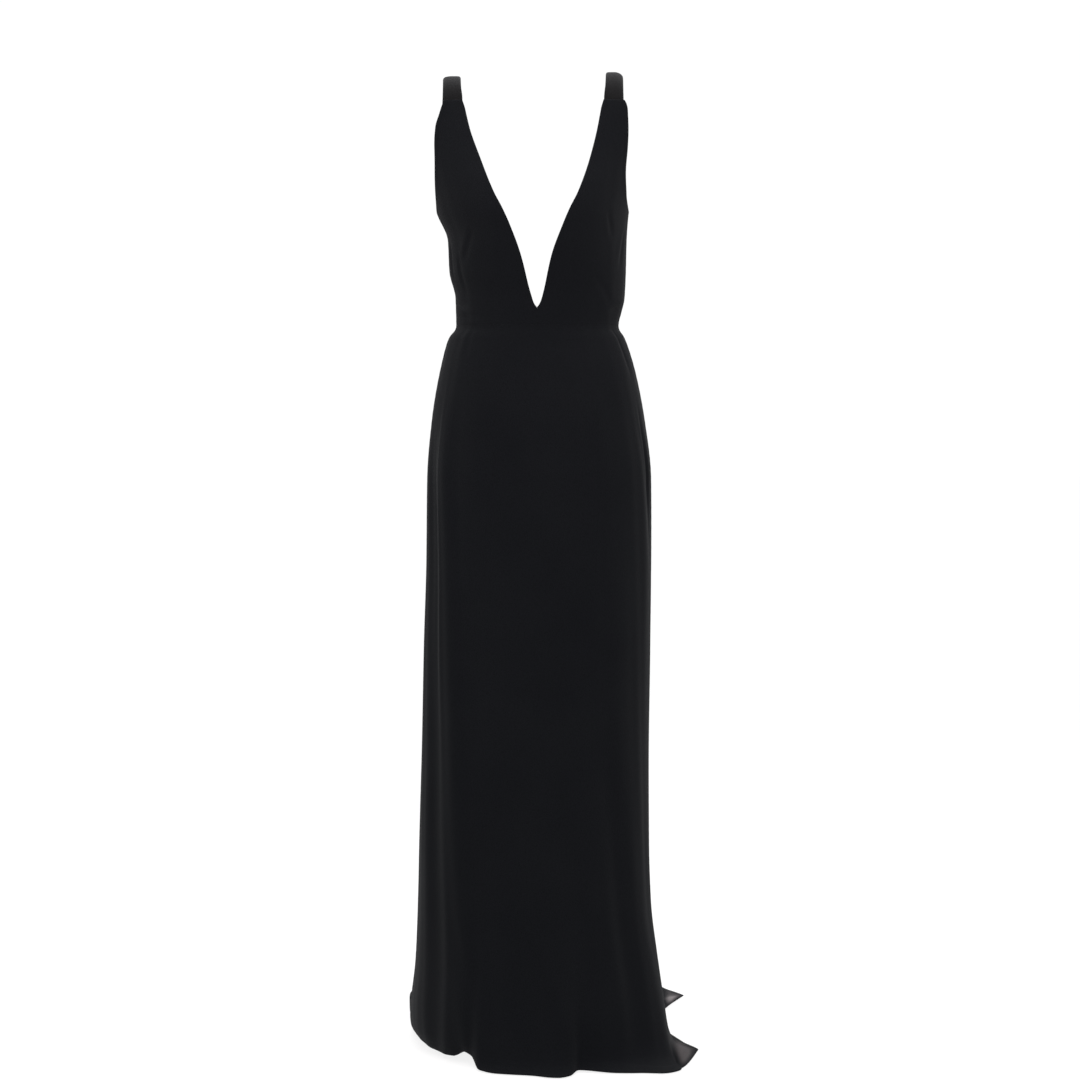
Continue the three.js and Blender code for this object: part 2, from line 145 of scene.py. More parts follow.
# Armhole edges: distance from the centre front or the centre back
FRONT_ARMHOLE = table("z left right", [
    (STRAP_END, 129, 136.5),
    (-46, 131, 138.5),
    (-58, 132, 142.4),
    (-80, 133, 149),
    (-110, 132, 150.5),
    (-150, 129, 150),
    (-180, 130.5, 149.5),
    (-196, 134, 149),
    (UNDERARM, 136, 148),
])
BACK_ARMHOLE = table("z left right", [
    (STRAP_END, 132, 143.5),
    (-70, 127, 141),
    (-110, 122, 139),
    (-150, 121, 139),
    (-182, 126, 142),
    (-197, 131.5, 146),
    (UNDERARM, 136, 148),
])

BUST = {"left": 74, "right": 78, "z": -206, "forward": 11, "half_width": 52, "half_height": 72}
BUST_BOTTOM = 2 * UNDERARM

STRAPS = {
    "left": {"side": 1, "inner": 99.8, "outer": 127.3, "crest": 5.5, "fall": 6.0},
    "right": {"side": -1, "inner": 110.8, "outer": 139.0, "crest": -0.5, "fall": 2.5},
}
STRAP_EDGE_ROUND = 2.8
STRAP_EDGE_POWER = 10
STRAP_TUCK = 8.0
STRAP_DRIFT = 4.0
CREST_Y = 4.0

# Hem line on the floor: degrees round from the centre front, place, height above the floor
HEM = table("turn x y lift", [
    (-180, 0, 480, 0),
    (-155, -118, 466, 0),
    (-136, -197, 404, 0),
    (-125, -209, 342, 0),
    (-113, -206, 272, 0),
    (-98, -196, 150, 1),
    (-88, -188.5, 95, 3),
    (-80, -181.5, 60, 4),
    (-72, -175, 26, 5),
    (-65, -167, -8, 6),
    (-58, -158, -38, 5),
    (-52, -150, -60, 5),
    (-45, -140, -86, 7),
    (-40, -124, -94, 7),
    (-35, -103, -105, 18),
    (-30, -93, -114, 14),
    (-25, -84, -157, 1),
    (-16, -58, -176, 0),
    (0, 0, -189, 0),
    (5, 15, -194, 0),
    (10, 31, -196, 0),
    (15, 47, -188, 0),
    (20, 61, -163, 2),
    (36, 112, -172, 0),
    (60, 179, -175, 0),
    (75, 211, -149, 0),
    (90, 207, -31, 0),
    (94.5, 198, 12, 0),
    (104, 195.5, 98, 0),
    (118, 205, 240, 0),
    (130, 206, 332, 0),
    (137, 197, 380, 0),
    (144, 188, 425, 0),
    (163, 90, 472, 0),
    (180, 0, 480, 0),
])

# Pointed corners of the train that lie out to the wearer's left, with a low ridge along the
# front edge of each, from which the edge turns down to the floor
TRAIN_POINTS = table("turn half_turn reach ridge_turn ridge_half_turn rise", [
    (90, 14, 36, 82, 9, 8),
    (130, 12, 34, 123, 10, 6.5),
])

# How the cloth comes to lie, by its share of the way out to the hem line or by how far round it is:
# where it lies down, where the corners' ridges rise and fall, where the lying front keeps its
# height, and where the folds of the standing skirt run out towards the back
LAID = (0.3, 0.8)
RIDGE_RISE = (0.35, 0.8)
RIDGE_FALL = (0.87, 1)
FRONT_LIES = (-0.2, 0.4)
BACK_LIES = (-0.4, 0.2)

# Long soft folds, close to those of the solids: turn at the top and foot, heights, depth outward,
# half width
FOLDS = table("turn_top turn_foot top foot depth half_turn", [
    (-56, -31, -440, REST, 5, 9),
    (-72, -50, -460, REST, -5, 11),
    (66, 78, -470, -760, -4, 9),
    (32, 52, -900, REST, -4, 11),
    (-2, 8, -980, REST, 5, 13),
    (112, 104, -760, REST, -9, 12),
    (142, 148, -700, REST, 10, 13),
    (176, 170, -820, REST, -8, 12),
    (-152, -158, -640, REST, 9, 13),
    (-118, -108, -780, REST, -8, 13),
])
FOLD_FADE = 170.0

# Creases and ridges placed one by one: both ends, depth (a trough if negative), half width
CREASES = table("turn_a z_a turn_b z_b depth width", [
    # right front bodice
    (-44, -230, -56, -282, -1.5, 5.5),
    (-62, -264, -58, -326, -1.0, 4.5),
    (-76, -246, -72, -306, -1.5, 5.0),
    (-87, -338, -58, -346, -1.6, 5.0),
    (-70, -356, -34, -362, -0.8, 4.0),
    # left front bodice
    (50, -204, 56, -246, -1.2, 5.0),
    (74, -230, 66, -290, -1.4, 5.0),
    (87, -342, 56, -350, -1.5, 4.5),
    (38, -296, 60, -344, -0.8, 6.0),
    # skirt below the waist
    (-80, -376, -76, -440, -0.7, 6.0),
    (-50, -374, -46, -420, -0.7, 6.0),
    (64, -375, 69, -452, -1.1, 5.5),
    (84, -380, 80, -470, -0.7, 7.0),
    (69, -486, 77, -668, -2.0, 5.0),
    (78, -520, 83, -724, -1.4, 4.0),
    # long falls on the front
    (-60, -470, -51, -1060, 1.3, 5.0),
    (-66, -520, -58, -930, -1.2, 6.0),
    (44, -990, 57, -1396, -0.6, 9.0),
    (18, -1120, 27, -1430, -1.6, 10.0),
    (-18, -1180, -12, -1444, 1.8, 12.0),
    (61, -1190, 66, -1436, 0.8, 10.0),
    (-40, -1240, -27, -1452, -1.5, 9.0),
    (3, -1270, 16, -1452, 1.8, 9.0),
    (-74, -1130, -68, -1440, -0.8, 12.0),
    (82, -1080, 88, -1420, -0.9, 11.0),
    # back bodice and skirt
    (-128, -300, -150, -352, -1.3, 5.0),
    (132, -292, 150, -350, -1.4, 5.5),
    (112, -330, 138, -344, -1.2, 4.5),
    (-112, -334, -140, -350, -1.1, 4.5),
    (164, -384, 158, -470, -1.2, 7.0),
    (-166, -380, -156, -486, -1.3, 7.0),
    (128, -560, 134, -980, 1.7, 9.0),
    (-134, -600, -138, -1120, 1.9, 10.0),
    (158, -900, 163, -1380, -2.4, 11.0),
    (-172, -1000, -168, -1410, 2.2, 11.0),
    (122, -1060, 117, -1424, 2.2, 10.0),
    (-128, -1090, -124, -1420, -2.3, 11.0),
    (-98, -940, -92, -1400, 1.8, 10.0),
    (100, -900, 98, -1370, 1.6, 9.0),
])
CREASE_RADIUS = 150.0

# Each crease: shares of its length over which it starts and ends, width at its two ends, and the
# soft shoulder beside it in shares of its depth and width
CREASE_START = (-0.1, 0.35)
CREASE_END = (-1.1, -0.6)
CREASE_TAPER = (0.75, 1.25)
SHOULDER = {"depth": 0.45, "place": 2.1, "width": 1.3}

# Slow unevenness: height of each wave, waves round the dress, fall per radian, and start
WAVES = table("size round fall start", [
    (0.42, 11, 118, 0.6),
    (0.30, 17, -164, 2.1),
    (0.22, 26, 92, 4.0),
    (0.16, 7, -61, 1.3),
    (0.12, 39, 73, 5.2),
])
CALM_BODICE = {"share": 0.45, "from": 330, "to": 760}

# Shares of the way out to the hem line over which the cloth comes to lie on the floor, how far its
# creases are pressed out there, and the height up to which relief shows inside
LYING = (0.5, 0.9)
PRESSED_OUT = 0.7
INNER_RELIEF_MOST = 0.4

# Form of each kind of edge. The edge rolls in by "roll". The rest are heights, widths and pitches
# of its puckers, of the cloth turned under it and of its stitches.
EDGE_ROLL_WIDTH = 1.1
PLAIN_ROLL = 0.3
SEAM_FORM = {
    "roll": 0.4, "hollow": 0.12, "hollow_width": 5,
    "pucker": 0.13, "pitch": 2.3, "sway": 1.4, "sway_pitch": 31, "fade": 6,
}
ZIP_FORM = {
    "roll": 0.8, "lip": 0.8, "lip_at": 3.2, "lip_width": 2.6,
    "stitch": 0.35, "stitch_at": 7.5, "stitch_width": 0.9,
}
TURNED_FORM = {
    "roll": 0.5, "under": 0.3, "step": 1.5,
    "groove": 0.12, "groove_width": 0.9, "stitch_pitch": 2.6,
    "ripple": 0.2, "pitch": 9.5, "sway": 2.2, "sway_pitch": 47, "fade": 9,
}
HEM_FORM = {
    "roll": 0.5, "under": 0.35, "step": 2,
    "catch": 0.2, "catch_width": 1.4, "catch_pitch": 8.5,
}
STRAP_FORM = {"roll": 0.5, "roll_width": 1.6, "slope": 0.4, "slope_width": 6.0}
KIND_CHANGE = 3
SEAM_KINDS = ("seam", "zip", "flat")

# Mesh: columns of each panel, how close they lie to its edges, heights added round special ones,
# rows of the skirt down to the hip, the shin and the floor, and shares of the last row
FRONT_SKIRT_COLUMNS = 150
BACK_SKIRT_COLUMNS = 96
BODICE_COLUMNS = 44
STRAP_COLUMNS = 14
SKIRT_NEAR_EDGE = (0, 0.003, 0.007, 0.014, 0.024)
BODICE_NEAR_EDGE = (0, 0.008, 0.02, 0.04, 0.065)
STRAP_NEAR_EDGE = (0, 0.02, 0.06, 0.12)
BODICE_STEP = 3.2
CLOSE_STEPS = (-6, -4, -2.5, -1.2, 0, 1.2, 2.5, 4, 6)
V_ROUND = 8
ROWS_TO_HIP = 46
ROWS_TO_SHIN = 120
ROWS_TO_FLOOR = 84
HEM_SHARES = (0.2, 0.4, 0.6, 0.75, 0.85, 0.92, 0.97, 1.0)
TIP_MARGIN = 0.02
STRAP_ARC_ROWS = 61
STRAP_END_REACH = np.array([1.2, 1.6, 2])

# Small steps along a surface, from which its direction is taken
SURFACE_STEPS = (0.2, 0.01)
STRAP_STEPS = (0.5, 0.02)
TURN_STEP = 0.05
FINE_ROW_COUNT = 12001


def rows_of(columns):
    """Rows of a table, each with its named values."""
    count = len(next(iter(columns.values())))
    return [{name: values[n] for name, values in columns.items()} for n in range(count)]


def follow(keys, values, at):
    """Smooth curve through a table's values, with no swing past them."""
    if keys[0] > keys[-1]:
        keys, values = keys[::-1], values[::-1]
    gap = np.diff(keys)
    slope = np.diff(values) / gap
    before, after = slope[:-1], slope[1:]
    same = before * after > 0
    total = np.where(same, before + after, 1.0)
    inside = np.where(same, 2 * before * after / total, 0.0)
    tangent = np.concatenate([slope[:1], inside, slope[-1:]])
    i = np.clip(np.searchsorted(keys, at) - 1, 0, len(gap) - 1)
    t = np.clip((at - keys[i]) / gap[i], 0, 1)
    rise = values[i + 1] - values[i]
    a = gap[i] * tangent[i] - rise
    b = rise - gap[i] * tangent[i + 1]
    return values[i] + rise * t + t * (1 - t) * (a * (1 - t) + b * t)


def section(row, name):
    return follow(SECTION_ROWS, SECTIONS[name], row)


def smoothstep(value, low, high):
    t = np.clip((value - low) / (high - low), 0, 1)
    return t * t * (3 - 2 * t)


def turn_between(a, b):
    return (a - b + 180) % 360 - 180


def hump(distance, half_width):
    """Round hump: 1 in the middle, 0 from half_width away."""
    return 0.5 + 0.5 * np.cos(math.pi * np.minimum(abs(distance) / half_width, 1))


def mix(a, b, share):
    return a + (b - a) * share


def normalized(v):
    return v / np.maximum(np.linalg.norm(v, axis=-1, keepdims=True), 1e-9)


FINE_ROWS = np.linspace(0, HEM_ROW, FINE_ROW_COUNT)
FINE_HEIGHTS = section(FINE_ROWS, "z")


def row_at_height(z):
    """Row number, with its fraction, of the section at a height."""
    return np.interp(-z, -FINE_HEIGHTS, FINE_ROWS)


def fold_depth(turn, z):
    """How far the long folds move the cloth outwards."""
    depth = np.zeros(np.broadcast(turn, z).shape)
    for fold in rows_of(FOLDS):
        fallen = np.clip((fold["top"] - z) / (fold["top"] - fold["foot"]), 0, 1)
        fade = smoothstep(fold["top"] - z, 0, FOLD_FADE)
        if fold["foot"] > REST:
            fade = fade * smoothstep(z - fold["foot"], 0, FOLD_FADE)
        middle = mix(fold["turn_top"], fold["turn_foot"], fallen)
        depth += fold["depth"] * fade * hump(turn_between(turn, middle), fold["half_turn"])
    return depth


def bust_swell(x, z):
    apex = np.where(x > 0, BUST["left"], -BUST["right"])
    across = (x - apex) / BUST["half_width"]
    down = (z - BUST["z"]) / BUST["half_height"]
    return BUST["forward"] * np.exp(-across * across - down * down)


def cloth_point(turn, row):
    """Places on the outside of the dress, on the form of the solids."""
    turn, row = np.broadcast_arrays(turn, row)
    angle = np.radians(turn)
    across, along = np.sin(angle), -np.cos(angle)
    z, spread = section(row, "z"), section(row, "spread")
    swell = 1 + section(row, "square") * np.sin(2 * angle) ** 2
    width = np.where(across > 0, section(row, "left"), section(row, "right"))
    depth = np.where(along < 0, section(row, "front"), section(row, "back"))
    x, y = width * across * swell, depth * along * swell
    is_bust = (along < 0) & (z > BUST_BOTTOM)
    y = y - np.where(is_bust, bust_swell(x, z) * along * along, 0)

    hem_turn = turn_between(turn, 0)
    reach, rise = np.zeros(x.shape), np.zeros(x.shape)
    lifted = smoothstep(spread, *RIDGE_RISE) - smoothstep(spread, *RIDGE_FALL)
    for point in rows_of(TRAIN_POINTS):
        away = abs(turn_between(turn, point["turn"]))
        share = np.maximum(0, 1 - away / point["half_turn"])
        reach += point["reach"] * share * spread ** 3
        ridge = hump(turn_between(turn, point["ridge_turn"]), point["ridge_half_turn"])
        rise += point["rise"] * lifted * ridge
    hem = {name: follow(HEM["turn"], HEM[name], hem_turn) for name in ("x", "y", "lift")}
    fold = fold_depth(turn, z)
    laid = smoothstep(spread, *LAID)
    lying = laid * smoothstep(-along, *FRONT_LIES)
    standing = 1 - laid * smoothstep(along, *BACK_LIES)
    skirt_x = mix(x, hem["x"], spread) + reach + fold * across * standing
    skirt_y = mix(y, hem["y"], spread) + fold * along * standing
    raised_fold = np.maximum(0, fold) * (1 - standing) * (1 - lying)
    skirt_z = z + hem["lift"] * spread + rise + raised_fold
    is_skirt = z <= WAIST
    return np.stack([
        np.where(is_skirt, skirt_x, x),
        np.where(is_skirt, skirt_y, y),
        np.where(is_skirt, skirt_z, z),
    ], axis=-1)


def crest_height(strap, across):
    """Height of the strap where it crosses the shoulder, rounded down at both edges."""
    share = (across - strap["inner"]) / (strap["outer"] - strap["inner"])
    sloped = strap["fall"] * np.maximum(0, 2 * share - 1) ** 2
    return strap["crest"] - sloped - STRAP_EDGE_ROUND * abs(2 * share - 1) ** STRAP_EDGE_POWER


def strap_surface(strap):
    """Surface of a strap's run over the shoulder.

    It takes the distance from the centre and a reach from -2 in front to 2 behind. Past -1 and 1
    the strap is tucked behind the bodice.
    """
    side_width = "left" if strap["side"] > 0 else "right"
    tucked_row = row_at_height(STRAP_END - STRAP_TUCK)

    def surface(across, reach):
        across, reach = np.broadcast_arrays(across, reach)
        distance = across + STRAP_DRIFT * smoothstep(reach, -1, 1)
        row = np.clip(abs(reach) - 1, 0, 1) * tucked_row
        turn = np.degrees(np.arcsin(np.minimum(distance / section(row, side_width), 1)))
        turn = strap["side"] * np.where(reach > 0, 180 - turn, turn)
        base = cloth_point(turn, row)
        angle = np.minimum(abs(reach), 1) * math.pi / 2
        y = mix(CREST_Y, base[..., 1], np.sin(angle))
        z = mix(STRAP_END, crest_height(strap, across), np.cos(angle))
        is_tucked = abs(reach) >= 1
        return np.stack([
            base[..., 0],
            np.where(is_tucked, base[..., 1], y),
            np.where(is_tucked, base[..., 2], z),
        ], axis=-1)

    return surface


def crease_relief(turn, z):
    """Relief of the creases that are placed one by one, each with a soft shoulder beside it."""
    relief = np.zeros(turn.shape)
    for crease in rows_of(CREASES):
        run_x = math.radians(crease["turn_b"] - crease["turn_a"]) * CREASE_RADIUS
        run_z = crease["z_b"] - crease["z_a"]
        length = math.hypot(run_x, run_z)
        off_x = np.radians(turn_between(turn, crease["turn_a"])) * CREASE_RADIUS
        off_z = z - crease["z_a"]
        along = (off_x * run_x + off_z * run_z) / length
        away = (off_x * run_z - off_z * run_x) / length
        start = smoothstep(along, CREASE_START[0] * length, CREASE_START[1] * length)
        end = smoothstep(-along, CREASE_END[0] * length, CREASE_END[1] * length)
        width = crease["width"] * mix(*CREASE_TAPER, np.clip(along / length, 0, 1))
        beside_it = (away - SHOULDER["place"] * width) / (SHOULDER["width"] * width)
        shape = np.exp(-(away / width) ** 2) - SHOULDER["depth"] * np.exp(-beside_it ** 2)
        relief += crease["depth"] * (start * end) * shape
    return relief


def soft_waver(turn, z):
    """Slow unevenness of hanging crepe, long down the dress and short across it."""
    angle = np.radians(turn)
    waves = sum(
        wave["size"] * np.sin(wave["round"] * angle + z / wave["fall"] + wave["start"])
        for wave in rows_of(WAVES)
    )
    hung = smoothstep(-z, CALM_BODICE["from"], CALM_BODICE["to"])
    return waves * mix(CALM_BODICE["share"], 1.0, hung)


def stitch_dimples(run, pitch):
    """Row of small dimples along an edge."""
    return 0.5 + 0.5 * np.cos(2 * math.pi * run / pitch)


def ridge_at(away, place, width):
    return np.exp(-(((away - place) / width) ** 2))


def sway(run, form):
    """Uneven waves along an edge."""
    return np.sin(run / form["pitch"] + form["sway"] * np.sin(run / form["sway_pitch"]))


def turned_under(away, width, form):
    """Height that the cloth turned under an edge adds to it."""
    return form["under"] * (1 - smoothstep(away, width - form["step"], width + form["step"]))


def edge_relief(kind, away, run):
    """Relief near one edge: its roll, the cloth turned under, puckers and stitches."""
    roll = ridge_at(away, 0, EDGE_ROLL_WIDTH)
    if kind == "flat":
        return np.zeros(away.shape)
    if kind == "seam":
        form = SEAM_FORM
        pucker = form["pucker"] * sway(run, form) * np.exp(-away / form["fade"])
        hollow = form["hollow"] * ridge_at(away, 0, form["hollow_width"])
        return -form["roll"] * roll + pucker - hollow
    if kind == "zip":
        form = ZIP_FORM
        lip = form["lip"] * ridge_at(away, form["lip_at"], form["lip_width"])
        stitch = form["stitch"] * ridge_at(away, form["stitch_at"], form["stitch_width"])
        return -form["roll"] * roll + lip - stitch
    if kind == "turned":
        form = TURNED_FORM
        dimples = mix(0.5, 1, stitch_dimples(run, form["stitch_pitch"]))
        groove = -form["groove"] * ridge_at(away, TURNED_EDGE, form["groove_width"]) * dimples
        ripple = form["ripple"] * sway(run, form) * np.exp(-away / form["fade"])
        return -form["roll"] * roll + turned_under(away, TURNED_EDGE, form) + groove + ripple
    if kind == "hem":
        form = HEM_FORM
        dimples = stitch_dimples(run, form["catch_pitch"])
        catch = -form["catch"] * ridge_at(away, TURNED_HEM, form["catch_width"]) * dimples
        return -form["roll"] * roll + turned_under(away, TURNED_HEM, form) + catch
    if kind == "strap":
        form = STRAP_FORM
        slope = form["slope"] * ridge_at(away, 0, form["slope_width"])
        return -form["roll"] * ridge_at(away, 0, form["roll_width"]) - slope
    return -PLAIN_ROLL * roll


def kinds_along(kind, z):
    """An edge's kinds with their weights.

    A kind that changes at a height is (above, height, below).
    """
    if isinstance(kind, str):
        return [(kind, np.ones_like(z))]
    above, height, below = kind
    share = smoothstep(z, height - KIND_CHANGE, height + KIND_CHANGE)
    return [(above, share), (below, 1 - share)]


def run_along(points, axis):
    """Distance travelled along one direction of a grid of points."""
    steps = np.linalg.norm(np.diff(points, axis=axis), axis=-1)
    start = np.zeros_like(np.take(steps, [0], axis=axis))
    return np.concatenate([start, np.cumsum(steps, axis=axis)], axis=axis)


def shell(name, surface, turn, row, steps, edges, inset=0.0, thickness=CREPE, worn=True):
    """Closed cloth panel: outer and inner faces with rounded rims.

    turn and row are grids of places on the surface, and steps is a small step of each. edges gives
    the kinds of the first and last column and of the first and last row.
    """
    at = surface(turn, row)
    alongside = surface(turn + steps[0], row) - surface(turn - steps[0], row)
    down = surface(turn, row + steps[1]) - surface(turn, row - steps[1])
    normal = normalized(np.cross(down, alongside))
    across, below = run_along(at, 1), run_along(at, 0)
    z = at[..., 2]
    relief, rims, drops = np.zeros(z.shape), [], []
    distances = (across, across[:, -1:] - across, below, below[-1:] - below)
    for edge, away, run in zip(edges, distances, (below, below, across, across)):
        rim, drop = np.zeros(z.shape), np.zeros(z.shape)
        for kind, weight in kinds_along(edge, z):
            is_seam = kind in SEAM_KINDS
            relief += weight * edge_relief(kind, away, run)
            drop += weight * (FLAT_DROP if kind == "flat" else RIM_DROP)
            rim += weight * (SEAM_EASE + SEAM_OVERRUN if is_seam else RIM_SHARE * thickness)
        rims.append(rim)
        drops.append(drop)
    if worn:
        lying = smoothstep(section(row, "spread"), *LYING)
        relief += (crease_relief(turn, z) + soft_waver(turn, z)) * (1 - PRESSED_OUT * lying)
    inner_relief = np.minimum(relief, INNER_RELIEF_MOST)
    outer = at + normal * (relief + LOFT - inset)[..., None]
    inner = at + normal * (inner_relief + LOFT - inset - thickness)[..., None]
    outer[..., 2] = np.maximum(outer[..., 2], FLOOR + thickness + INNER_CLEARANCE)
    inner[..., 2] = np.maximum(inner[..., 2], FLOOR + INNER_CLEARANCE)
    return closed_mesh(name, at, outer, inner, rims, drops)


def add_object(name, data):
    made = bpy.data.objects.new(name, data)
    bpy.context.scene.collection.objects.link(made)
    return made


def closed_mesh(name, middle, outer, inner, rims, drops):
    """Joins an outer and an inner grid with a rounded rim and makes the Blender object.

    The rim runs on in the direction of the middle grid. For each edge, rims holds its reach and
    drops its share of the way to the inner face.
    """
    rows, columns = outer.shape[:2]
    count = rows * columns
    loop = [(0, j) for j in range(columns)]
    loop += [(i, columns - 1) for i in range(1, rows)]
    loop += [(rows - 1, j) for j in range(columns - 2, -1, -1)]
    loop += [(i, 0) for i in range(rows - 2, 0, -1)]
    i, j = np.array(loop).T
    sides = (j == 0, j == columns - 1, i == 0, i == rows - 1)
    reach = np.sqrt(sum(np.where(side, rim[i, j], 0) ** 2 for side, rim in zip(sides, rims)))
    away = normalized(middle[i, j] - middle[np.clip(i, 1, rows - 2), np.clip(j, 1, columns - 2)])
    drop = np.min([np.where(side, share[i, j], 1) for side, share in zip(sides, drops)], axis=0)
    rim = mix(outer[i, j], inner[i, j], drop[:, None]) + away * reach[:, None]
    rim[:, 2] = np.maximum(rim[:, 2], FLOOR + RIM_CLEARANCE)
    vertices = np.concatenate([outer.reshape(-1, 3), inner.reshape(-1, 3), rim]) * MM

    a = (np.arange(rows - 1)[:, None] * columns + np.arange(columns - 1)).ravel()
    outer_faces = np.stack([a, a + columns, a + columns + 1, a + 1], axis=1)
    inner_faces = outer_faces[:, ::-1] + count
    edge = i * columns + j
    next_edge = np.roll(edge, -1)
    rim_index = 2 * count + np.arange(len(loop))
    next_rim = np.roll(rim_index, -1)
    upper = np.stack([edge, next_edge, next_rim, rim_index], axis=1)
    lower = np.stack([rim_index, next_rim, next_edge + count, edge + count], axis=1)
    faces = np.concatenate([outer_faces, inner_faces, upper, lower])

    mesh = bpy.data.meshes.new(name)
    mesh.from_pydata(vertices.tolist(), [], faces.tolist())
    mesh.polygons.foreach_set("use_smooth", np.ones(len(faces), bool))
    mesh.update()
    return add_object(name, mesh)


def beside(turn, row, direction):
    """Turn that lies the seam's ease to one side of a seam."""
    step = cloth_point(turn + TURN_STEP, row) - cloth_point(turn - TURN_STEP, row)
    run = np.linalg.norm(step, axis=-1) / (2 * TURN_STEP)
    return turn + direction * SEAM_EASE / run


def turn_at_distance(distance, row, side, is_back):
    width = section(row, "left" if side > 0 else "right")
    turn = np.degrees(np.arcsin(np.minimum(distance / width, 1)))
    return side * (180 - turn if is_back else turn)


def bodice_edges(row, side, is_back):
    """Turns of the neck edge and of the armhole or side edge of a bodice piece."""
    name = "left" if side > 0 else "right"
    z = section(row, "z")
    centre = np.full(row.shape, 180.0 * side if is_back else 0.0)
    neck_bottom = BACK_V_BOTTOM if is_back else V_BOTTOM
    distance = follow(FRONT_NECK["z"], FRONT_NECK[name], z + V_BOTTOM - neck_bottom)
    if is_back:
        distance = distance * BACK_NECK_SCALE + np.minimum(BACK_NECK_EASE, distance)
    from_top = smoothstep(-z, -STRAP_END, FOLD_FULL)
    folded = np.maximum(distance - NECK_FOLD * from_top, SEAM_EASE)
    neck = turn_at_distance(folded, row, side, is_back)
    inner = np.where(z > neck_bottom, neck, beside(centre, row, -side if is_back else side))
    armhole_table = BACK_ARMHOLE if is_back else FRONT_ARMHOLE
    cut_line = follow(armhole_table["z"], armhole_table[name], z)
    from_underarm = smoothstep(z, UNDERARM, UNDERARM + FOLD_RUN)
    fold = 0 if is_back else ARMHOLE_FOLD[name] * from_top * from_underarm
    armhole = turn_at_distance(cut_line + fold, row, side, is_back)
    seam = beside(np.full(row.shape, 90.0 * side), row, side if is_back else -side)
    nearer = np.maximum if is_back else np.minimum
    outer = np.where(z > UNDERARM, side * nearer(abs(armhole), abs(seam)), seam)
    return inner, outer


def spaced(columns, near_edge):
    """Shares from 0 to 1, closer together near both ends."""
    near = np.array(near_edge)
    middle = np.linspace(near[-1], 1 - near[-1], columns)[1:-1]
    return np.concatenate([near, middle, (1 - near)[::-1]])


def close_heights(top, bottom, step, special):
    """Heights from top to bottom, closer together near both ends and the special ones."""
    heights = list(np.arange(top, bottom, -step)) + [bottom]
    for z in (top, bottom, *special):
        heights += [z + d for d in CLOSE_STEPS]
    return np.unique(np.round([z for z in heights if bottom <= z <= top], 2))[::-1]


def worn_panel(name, start, end, share, row, kinds):
    """Panel of the worn dress between two edges that are given as a turn for each row."""
    turn = start[:, None] + (end - start)[:, None] * share
    return shell(name, cloth_point, turn, row[:, None] + 0 * turn, SURFACE_STEPS, kinds)


def bodice_piece(name, side, is_back):
    neck_bottom = BACK_V_BOTTOM if is_back else V_BOTTOM
    special = (neck_bottom, neck_bottom + V_ROUND, UNDERARM)
    row = row_at_height(close_heights(STRAP_END, WAIST + SEAM_EASE, BODICE_STEP, special))
    inner, outer = bodice_edges(row, side, is_back)
    start, end = np.minimum(inner, outer), np.maximum(inner, outer)
    neck = ("turned", neck_bottom, "zip" if is_back else "flat")
    armhole = ("turned", UNDERARM, "seam")
    columns = (neck, armhole) if (side > 0) != is_back else (armhole, neck)
    share = spaced(BODICE_COLUMNS, BODICE_NEAR_EDGE)
    return worn_panel(name, start, end, share, row, (*columns, "joined", "flat"))


def skirt_piece(name, start_turn, end_turn, columns, side_kinds):
    row = np.concatenate([
        np.linspace(WAIST_ROW, HIP_ROW, ROWS_TO_HIP),
        np.linspace(HIP_ROW, SHIN_ROW, ROWS_TO_SHIN),
        np.linspace(SHIN_ROW, HEM_ROW - 1, ROWS_TO_FLOOR),
        HEM_ROW - 1 + np.array(HEM_SHARES),
    ])
    row = np.unique(np.maximum(row, row_at_height(WAIST - SEAM_EASE)))
    start = beside(np.full(row.shape, start_turn), row, 1)
    end = beside(np.full(row.shape, end_turn), row, -1)
    tips = (TRAIN_POINTS["turn"] - start_turn) / (end_turn - start_turn)
    tips = tips[(tips > TIP_MARGIN) & (tips < 1 - TIP_MARGIN)]
    share = np.unique(np.concatenate([spaced(columns, SKIRT_NEAR_EDGE), tips]))
    return worn_panel(name, start, end, share, row, (*side_kinds, "flat", "hem"))


def strap_piece(name, strap):
    arc = np.linspace(-1, 1, STRAP_ARC_ROWS)
    reach = np.concatenate([-STRAP_END_REACH[::-1], arc, STRAP_END_REACH])
    share = spaced(STRAP_COLUMNS, STRAP_NEAR_EDGE)
    share = share[::-1] if strap["side"] > 0 else share
    across = np.broadcast_to(mix(strap["inner"], strap["outer"], share), (len(reach), len(share)))
    steps = (-STRAP_STEPS[0] * strap["side"], STRAP_STEPS[1])
    return shell(
        name, strap_surface(strap), across, reach[:, None] + 0 * across, steps,
        ("strap", "strap", "none", "none"), STRAP_INSET, STRAP_CLOTH, worn=False,
    )


# Grain of the crepe: stretch along the threads, pebbles, crinkles and slow patches of dye with
# their number per metre, share of the pebbles, depth in millimetres and strength of the relief, the
# colour from the hollows to the crests, darker in the hollows as painted shade and lighter on the
# crests as painted highlight, and the colour over the patches of dye
GRAIN_STRETCH = (1.0, 1.0, 0.55)
PEBBLE = {"Scale": 950, "Smoothness": 0.6}
CRINKLE = {"Scale": 620, "Detail": 3, "Distortion": 0.6}
DYE = {"Scale": 9, "Detail": 4}
PEBBLE_SHARE = 0.8
GRAIN_DEPTH = 0.35
GRAIN_STRENGTH = 0.6
GRAIN_SHADE_TONES = ((0.3, 0.72), (0.95, 1.35))
DYE_TONES = ((0.3, (0.82, 0.82, 0.84)), (0.72, (1, 0.99, 0.98)))
CREPE_ROUGHNESS = (0.72, 0.88)
SHEEN_ROUGHNESS = 0.55
SHEEN_TINT = (0.95, 0.97, 1, 1)
